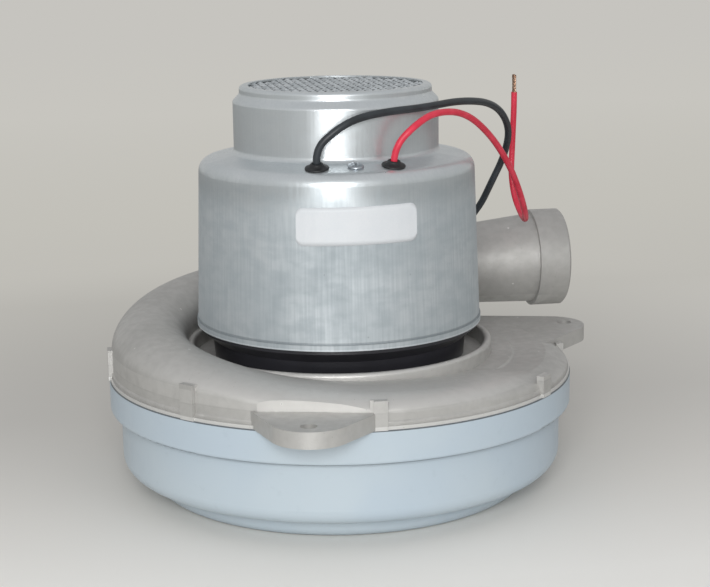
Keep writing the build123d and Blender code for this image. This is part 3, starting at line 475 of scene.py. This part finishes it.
# Coated white label film: almost flat, with a slight tooth.
LABEL = surface("white_label_film", "D3D6D9", 0.0, 0.45, [
    {"kind": "noise", "size": 0.7, "tint": "CED2D6", "amount": 0.5, "bump": 0.004},
    {"kind": "noise", "size": 12, "tint": "CBD0D4", "amount": 0.4, "rough": 0.08},
])


def paint(piece, material):
    """The piece takes one material in all its slots."""
    if not piece.material_slots:
        piece.data.materials.append(material)
    for place in piece.material_slots:
        place.material = material


for part in frame["record"]["subparts"]:
    paint(frame["nodes"][part["node"]], LOOKS[part["material_slot"]])

paint(wires["lead_black"], LOOKS["black_insulation"])
paint(wires["lead_red"], LOOKS["red_insulation"])
for bundle in strands.values():
    paint(bundle, LOOKS["copper"])


# Screen, grommets, cover screws and brush springs

SHOULDER_TILT = math.atan(0.2112)      # the fall of the can's shoulder
# How far from the shaft, how high, and at which turns in degrees.
GROMMET_CIRCLE, GROMMET_Z, GROMMET_TURNS = 53.6, 153.0, (252, 288)
SCREW_CIRCLE, SCREW_Z, SCREW_TURNS = 52.2, 153.3, (90, 270)


def on_shoulder(across, level, turn):
    """A frame square to the can's sloping shoulder: its Z points out of the steel."""
    return (Matrix.Rotation(math.radians(turn), 4, "Z")
            @ Matrix.Translation(Vector((across, 0, level)) * MM)
            @ Matrix.Rotation(SHOULDER_TILT, 4, "Y"))


def spun(profile, place, around=48, dent=None):
    """The vertices and faces of a closed profile (radius, height in mm) turned about a frame's Z."""
    verts, faces = [], []
    for k in range(around):
        turn = math.tau * k / around
        for r, z in profile:
            x, y = r * math.cos(turn), r * math.sin(turn)
            down = dent(x, y, z) if dent else 0
            verts.append(place @ Vector((x * MM, y * MM, (z - down) * MM)))
    count = len(profile)
    for k in range(around):
        for i in range(count):
            a, b = k * count + i, k * count + (i + 1) % count
            c, d = (k + 1) % around * count + (i + 1) % count, (k + 1) % around * count + i
            faces.append((a, b, c, d))
    return verts, faces


def all_at(name, profile, across, level, turns, around=48, dent=None):
    """One piece of the same turned form at each angle on the shoulder."""
    verts, faces = [], []
    for turn in turns:
        more, sides = spun(profile, on_shoulder(across, level, turn), around, dent)
        faces += [tuple(v + len(verts) for v in side) for side in sides]
        verts += more
    return mesh_piece(name, verts, faces)


# A grommet is a thin-edged flange that domes up round its wire, and a neck
# through the steel.
GROMMET = [
    (1.75, -2.3), (3.7, -2.3), (4.0, -1.9), (4.0, 0.02), (5.05, 0.02), (5.2, 0.2), (5.2, 0.55), (5.0, 0.8),
    (4.4, 1.0), (3.7, 1.25), (3.2, 1.6), (2.9, 2.1), (2.6, 2.5), (2.2, 2.6), (1.85, 2.5), (1.75, 2.3)]
grommets = all_at("grommets", GROMMET, GROMMET_CIRCLE, GROMMET_Z, GROMMET_TURNS)
paint(grommets, LOOKS["black_rubber"])
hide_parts("lead_grommets")

# A cover screw has a wide shallow head with a cross recess.
SCREW_R, SCREW_HIGH, SCREW_EDGE = 3.5, 1.7, 0.5
CROSS_HALF, CROSS_REACH, CROSS_DEEP = 0.42, 1.9, 0.9
HEAD = [(SCREW_R * math.sin(a), SCREW_EDGE + (SCREW_HIGH - SCREW_EDGE) * math.cos(a))
        for a in map(math.radians, range(3, 91, 3))]
SHANK = [(1.85, 0.02), (1.85, -7.3), (1.2, -8.0), (0.02, -8.0)]


def cross(x, y, z):
    """How deep the cross recess is at a point of the head."""
    near, far = sorted((abs(x), abs(y)))
    return CROSS_DEEP if z > 1 and near < CROSS_HALF and far < CROSS_REACH else 0.0


SCREW = [(0.02, SCREW_HIGH)] + HEAD + [(SCREW_R, 0.02)] + SHANK
screws = all_at("screws", SCREW, SCREW_CIRCLE, SCREW_Z, SCREW_TURNS, around=72, dent=cross)
paint(screws, LOOKS["zinc_plated_steel"])
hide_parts("cover_screws")


SCREEN_PITCH, SCREEN_FIELD_R = 7.0, 39.5
SCREEN_STEPS = 14      # of the square grid that the round field is cut from


def screen_tree(material):
    """Geometry Nodes: the piece's own cell, repeated on a staggered grid inside a circle."""
    tree = bpy.data.node_groups.new("formed_screen", "GeometryNodeTree")
    sockets = tree.interface
    sockets.new_socket("Geometry", in_out="INPUT", socket_type="NodeSocketGeometry")
    for name, value in (("Pitch", SCREEN_PITCH * MM), ("Field Radius", SCREEN_FIELD_R * MM)):
        sockets.new_socket(name, in_out="INPUT", socket_type="NodeSocketFloat").default_value = value
    sockets.new_socket("Geometry", in_out="OUTPUT", socket_type="NodeSocketGeometry")
    given = node(tree, "NodeGroupInput").outputs
    row = node(tree, "ShaderNodeMath", {0: given["Pitch"], 1: math.sqrt(3) / 2},
               operation="MULTIPLY").outputs[0]
    wide = node(tree, "ShaderNodeMath", {0: given["Pitch"], 1: SCREEN_STEPS},
                operation="MULTIPLY").outputs[0]
    deep = node(tree, "ShaderNodeMath", {0: row, 1: SCREEN_STEPS}, operation="MULTIPLY").outputs[0]
    grid = node(tree, "GeometryNodeMeshGrid", {
        "Size X": wide, "Size Y": deep,
        "Vertices X": SCREEN_STEPS + 1, "Vertices Y": SCREEN_STEPS + 1}).outputs["Mesh"]
    # every other row moves along by half a pitch
    spot = node(tree, "GeometryNodeInputPosition").outputs[0]
    level = node(tree, "ShaderNodeSeparateXYZ", {0: spot}).outputs["Y"]
    count = node(tree, "ShaderNodeMath", {0: level, 1: row}, operation="DIVIDE").outputs[0]
    count = node(tree, "ShaderNodeMath", {0: count}, operation="ROUND").outputs[0]
    odd = node(tree, "ShaderNodeMath", {0: count, 1: 2.0}, operation="FLOORED_MODULO").outputs[0]
    half = node(tree, "ShaderNodeMath", {0: given["Pitch"], 1: 0.5}, operation="MULTIPLY").outputs[0]
    shift = node(tree, "ShaderNodeMath", {0: odd, 1: half}, operation="MULTIPLY").outputs[0]
    moved = node(tree, "GeometryNodeSetPosition", {
        "Geometry": grid, "Offset": node(tree, "ShaderNodeCombineXYZ", {0: shift}).outputs[0]}).outputs[0]
    # the corners outside the round field go
    away = node(tree, "ShaderNodeVectorMath", {0: spot}, operation="LENGTH").outputs["Value"]
    outside = node(tree, "ShaderNodeMath", {0: away, 1: given["Field Radius"]},
                   operation="GREATER_THAN").outputs[0]
    kept = node(tree, "GeometryNodeDeleteGeometry", {"Geometry": moved, "Selection": outside}).outputs[0]
    dots = node(tree, "GeometryNodeMeshToPoints", {"Mesh": kept}).outputs[0]
    cells = node(tree, "GeometryNodeInstanceOnPoints", {
        "Points": dots, "Instance": given["Geometry"]}).outputs[0]
    plain = node(tree, "GeometryNodeRealizeInstances", {"Geometry": cells}).outputs[0]
    done = node(tree, "GeometryNodeSetMaterial", {"Geometry": plain, "Material": material}).outputs[0]
    node(tree, "NodeGroupOutput", {0: done})
    return tree


CELL_HOLE_R, CELL_CORNER, CELL_SADDLE, CELL_SHEET = 2.9, 1.1, 0.25, 0.3
CELL_POINTS = 12       # round each ring of a cell: a corner and the middle of a side in turn
CELL_WELD = 0.05
SCREEN_Z = 182.9
LIP_IN_R, SCREEN_R, LIP_ROOM = 38.8, 41.6, 0.3      # under the cap's lip the cells are pressed flat
RIM = [(40.2, 182.62), (41.7, 182.62), (41.7, 183.18), (40.2, 183.18)]
RIM_SIDES = 120


def formed_cell():
    """One cell of a pressed screen: a hexagonal web about a dished opening; its corners stand up, and
    its sides sag between them."""
    corner_r = SCREEN_PITCH / math.sqrt(3)
    top = ((corner_r, CELL_CORNER, CELL_SADDLE),
           ((corner_r + CELL_HOLE_R) / 2, CELL_SADDLE, CELL_SADDLE / 2),
           (CELL_HOLE_R, -CELL_SHEET, -CELL_SHEET))
    rings = top + tuple((r, high - CELL_SHEET, low - CELL_SHEET) for r, high, low in top[::-1])
    verts = []
    for r, high, low in rings:
        for k in range(CELL_POINTS):
            turn = math.tau * (k + 1) / CELL_POINTS
            reach, level = (r, high) if k % 2 == 0 else (r * math.sqrt(3) / 2, low)
            verts.append((reach * math.cos(turn) * MM, reach * math.sin(turn) * MM, level * MM))
    faces = []
    for first in range(0, len(verts) - CELL_POINTS, CELL_POINTS):
        for k in range(CELL_POINTS):
            a, b = first + k, first + (k + 1) % CELL_POINTS
            faces.append((a, b, b + CELL_POINTS, a + CELL_POINTS))
    return verts, faces


def formed_screen():
    """The cap's screen: the formed field, made plain, and the flat rim under the cap's lip."""
    verts, faces = formed_cell()
    mesh = bpy.data.meshes.new("screen_cell")
    mesh.from_pydata(verts, [], faces)
    cell = bpy.data.objects.new("screen_cell", mesh)
    bpy.context.scene.collection.objects.link(cell)
    modifier = cell.modifiers.new("formed_screen", "NODES")
    modifier.node_group = screen_tree(SCREEN)
    for item in modifier.node_group.interface.items_tree:
        if item.in_out == "INPUT" and item.socket_type == "NodeSocketFloat":
            modifier[item.identifier] = item.default_value
    ready = cell.evaluated_get(bpy.context.evaluated_depsgraph_get())
    field = bpy.data.meshes.new_from_object(ready)
    cell.modifiers.remove(modifier)
    bpy.data.objects.remove(cell)
    bm = bmesh.new()
    bm.from_mesh(field)
    bmesh.ops.remove_doubles(bm, verts=bm.verts, dist=CELL_WELD * MM)
    bm.verts.index_update()
    verts = []
    for v in bm.verts:
        r = v.co.xy.length / MM
        pull = min(1.0, SCREEN_R / max(r, 1.0))
        level = min(v.co.z, LIP_ROOM * MM) if r > LIP_IN_R else v.co.z
        verts.append((v.co.x * pull, v.co.y * pull, level + SCREEN_Z * MM))
    faces = [tuple(v.index for v in f.verts) for f in bm.faces]
    bm.free()
    rim, sides = spun(RIM, Matrix.Identity(4), RIM_SIDES)
    faces += [tuple(v + len(verts) for v in side) for side in sides]
    piece = mesh_piece("screen", verts + rim, faces, smooth=False)
    paint(piece, SCREEN)
    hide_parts("top_screen")


BRUSH_TRAVEL, COIL_WELD = 6.0, 0.001


def brush_spring(name):
    """A copy of the coil, its doubled points welded; it rides on the housing, so its outer end stays on the
    cap.
    """
    coil = frame["nodes"][name].data.copy()
    bm = bmesh.new()
    bm.from_mesh(coil)
    bmesh.ops.remove_doubles(bm, verts=bm.verts, dist=COIL_WELD * MM)
    bm.to_mesh(coil)
    bm.free()
    piece = bpy.data.objects.new(name + "_coil", coil)
    bpy.context.scene.collection.objects.link(piece)
    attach(piece, HOUSING)
    paint(piece, LOOKS["spring_steel"])
    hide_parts(name)
    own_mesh(piece)


formed_screen()
brush_spring("spring_right")
brush_spring("spring_left")


# The label

LABEL_TURNS = (-115.2, -66.7)            # its two ends, in degrees round the can
LABEL_LOW, LABEL_HIGH = 121.6, 138.0
LABEL_TILT, LABEL_CORNER, LABEL_THICK = 0.2, 3.2, 0.14
LABEL_OFF = 0.01                         # its underside stays this far off the steel
LABEL_CAN_R = 64.2                       # the can's radius there
LABEL_COLUMNS, LABEL_ROWS = 72, 8
RAY_FROM, RAY_LONG = 90, 50              # the rays that find the can, from outside it towards the shaft


def bare_label():
    """A bare white label, stuck on the can; its corners are rounded."""
    can = frame["nodes"]["motor_cover"].data
    tree = BVHTree.FromPolygons([v.co for v in can.vertices], [p.vertices for p in can.polygons])
    turn_0, turn_1 = (math.radians(a) for a in LABEL_TURNS)
    low, high, corner, thick = LABEL_LOW, LABEL_HIGH, LABEL_CORNER, LABEL_THICK
    width = (turn_1 - turn_0) * LABEL_CAN_R
    columns, rows = LABEL_COLUMNS, LABEL_ROWS
    verts, faces = [], []
    for i in range(columns + 1):
        u = width * 0.5 * (1 - math.cos(math.pi * i / columns))
        edge = min(u, width - u)
        inset = corner - math.sqrt(max(0.0, corner ** 2 - max(0.0, corner - edge) ** 2))
        turn = turn_0 + u / LABEL_CAN_R
        lift = LABEL_TILT * (u / width - 0.5) * 2
        for j in range(rows + 1):
            z = (low + inset) + (high - low - 2 * inset) * j / rows + lift
            out = Vector((math.cos(turn), math.sin(turn), 0))
            start = Vector((0, 0, z * MM)) + out * (RAY_FROM * MM)
            hit = tree.ray_cast(start, -out, RAY_LONG * MM)[0]
            verts.append(hit + out * thick * MM)
    for i in range(columns):
        for j in range(rows):
            a = i * (rows + 1) + j
            faces.append((a, a + rows + 1, a + rows + 2, a + 1))
    rim = [i * (rows + 1) for i in range(columns + 1)]
    rim += [columns * (rows + 1) + j for j in range(1, rows + 1)]
    rim += [i * (rows + 1) + rows for i in range(columns - 1, -1, -1)]
    rim += [j for j in range(rows - 1, 0, -1)]
    foot = len(verts)
    for k in rim:
        out = Vector((verts[k].x, verts[k].y, 0)).normalized()
        verts.append(verts[k] - out * (thick - LABEL_OFF) * MM)
    for k in range(len(rim)):
        n = (k + 1) % len(rim)
        faces.append((rim[k], foot + k, foot + n, rim[n]))
    piece = mesh_piece("label", verts, faces)
    paint(piece, LABEL)


bare_label()


# The stage

# The floor's colour along Y, from in front of the object to behind it, in metres:
# a painted falloff of light, brightest just in front of the object and darker behind it.
COVE = ((-0.45, "EAE9E5"), (-0.14, "F1F0EC"), (-0.03, "E6E4DF"), (0.12, "CFCDC8"), (0.40, "BEBCB6"),
        (0.75, "C2C0B9"), (1.60, "C7C5BF"), (3.00, "C6C4BF"))


def cove_colour(tree, place):
    """The cove's colour along Y: a painted falloff of light."""
    low, high = COVE[0][0], COVE[-1][0]
    along = node(tree, "ShaderNodeMapRange", {
        0: node(tree, "ShaderNodeSeparateXYZ", {0: place}).outputs["Y"], 1: low, 2: high}).outputs[0]
    stops = [((y - low) / (high - low), colour(code)) for y, code in COVE]
    stops = [stops[0], stops[-1]] + stops[1:-1]      # a new ramp has its two end stops already
    return node(tree, "ShaderNodeValToRGB", {0: along}, stops=stops).outputs[0]


FLOOR_HALF, FLOOR_DROP = 3.0, 0.0002
LIT_TO, GLOW_FROM = 0.15, 0.55           # away from the object the lit floor fades into a glow
FOOT_OUT, FOOT_IN = 0.080, 0.070         # and so it does under the shell's foot
FAR_REFLECTED = "8E8E8C"                 # what metal sees of that glow
SKY_LOW, SKY_HIGH, SKY_LEVEL = "BCBCBA", "B8B8BA", 1.14


def build_floor():
    """A pale floor that fades into an even backdrop and keeps the object's shadow."""
    half = FLOOR_HALF
    corners = [(-half, -half, 0), (half, -half, 0), (half, half, 0), (-half, half, 0)]
    mesh = bpy.data.meshes.new("floor")
    mesh.from_pydata(corners, [], [(0, 1, 2, 3)])
    floor = bpy.data.objects.new("floor", mesh)
    bpy.context.scene.collection.objects.link(floor)
    floor.location.z = -FLOOR_DROP
    made = bpy.data.materials.new("studio_floor")
    made.use_nodes = True
    tree = made.node_tree
    tree.nodes.remove(tree.nodes["Principled BSDF"])
    place = node(tree, "ShaderNodeTexCoord").outputs["Object"]
    away = node(tree, "ShaderNodeVectorMath", {0: place}, operation="LENGTH").outputs["Value"]
    wide = node(tree, "ShaderNodeMapRange", {0: away, 1: LIT_TO, 2: GLOW_FROM},
                interpolation_type="SMOOTHSTEP").outputs[0]
    # under the foot it glows, so the inlet isn't black from below
    foot = node(tree, "ShaderNodeMapRange", {0: away, 1: FOOT_OUT, 2: FOOT_IN}).outputs[0]
    fade = node(tree, "ShaderNodeMath", {0: wide, 1: foot}, operation="MAXIMUM").outputs[0]
    path = node(tree, "ShaderNodeLightPath").outputs["Is Camera Ray"]
    shade = cove_colour(tree, place)
    far = node(tree, "ShaderNodeMix", {0: path, 6: colour(FAR_REFLECTED), 7: shade},
               data_type="RGBA").outputs[2]
    lit = node(tree, "ShaderNodeBsdfDiffuse", {"Color": shade}).outputs[0]
    glow = node(tree, "ShaderNodeEmission", {"Color": far, "Strength": 1.0}).outputs[0]
    mixed = node(tree, "ShaderNodeMixShader", {0: fade, 1: lit, 2: glow}).outputs[0]
    # seen from below, the floor isn't there
    under = node(tree, "ShaderNodeNewGeometry").outputs["Backfacing"]
    clear = node(tree, "ShaderNodeBsdfTransparent").outputs[0]
    mixed = node(tree, "ShaderNodeMixShader", {0: under, 1: mixed, 2: clear}).outputs[0]
    tree.links.new(mixed, tree.nodes["Material Output"].inputs[0])
    mesh.materials.append(made)


def build_world():
    """An even pale room; the camera sees the cove's far colour in it."""
    world = bpy.data.worlds.new("studio")
    bpy.context.scene.world = world
    world.use_nodes = True
    tree = world.node_tree
    tree.nodes.clear()
    path = node(tree, "ShaderNodeLightPath").outputs["Is Camera Ray"]
    facing = node(tree, "ShaderNodeTexCoord").outputs["Generated"]
    level = node(tree, "ShaderNodeSeparateXYZ", {0: facing}).outputs["Z"]
    ends = [(0.0, colour(SKY_LOW)), (1.0, colour(SKY_HIGH))]
    sky = node(tree, "ShaderNodeValToRGB", {0: level}, stops=ends).outputs[0]
    soft = node(tree, "ShaderNodeBackground", {"Color": sky, "Strength": SKY_LEVEL}).outputs[0]
    seen = node(tree, "ShaderNodeBackground", {"Color": colour(COVE[-1][1]), "Strength": 1.0}).outputs[0]
    mixed = node(tree, "ShaderNodeMixShader", {0: path, 1: soft, 2: seen}).outputs[0]
    node(tree, "ShaderNodeOutputWorld", {0: mixed})


def softbox(name, place, target, size, power):
    """A white area light that faces its target."""
    light = bpy.data.lights.new(name, "AREA")
    light.shape = "RECTANGLE"
    light.size, light.size_y = size
    light.energy = power
    lamp = bpy.data.objects.new(name, light)
    bpy.context.scene.collection.objects.link(lamp)
    lamp.location = place
    lamp.rotation_euler = (Vector(target) - Vector(place)).to_track_quat("-Z", "Y").to_euler()


build_floor()
build_world()
# Place, target and size in metres, and power in watts: the key is just above
# the camera, and the low strip gives the can and cap their shine.
softbox("key_box", (-0.20, -1.01, 0.44), (0, 0, 0.10), (0.36, 0.30), 5.7)
softbox("low_box", (-0.25, -1.08, 0.08), (0, 0, 0.16), (0.36, 0.07), 1.5)

bpy.context.scene.view_settings.view_transform = "Standard"
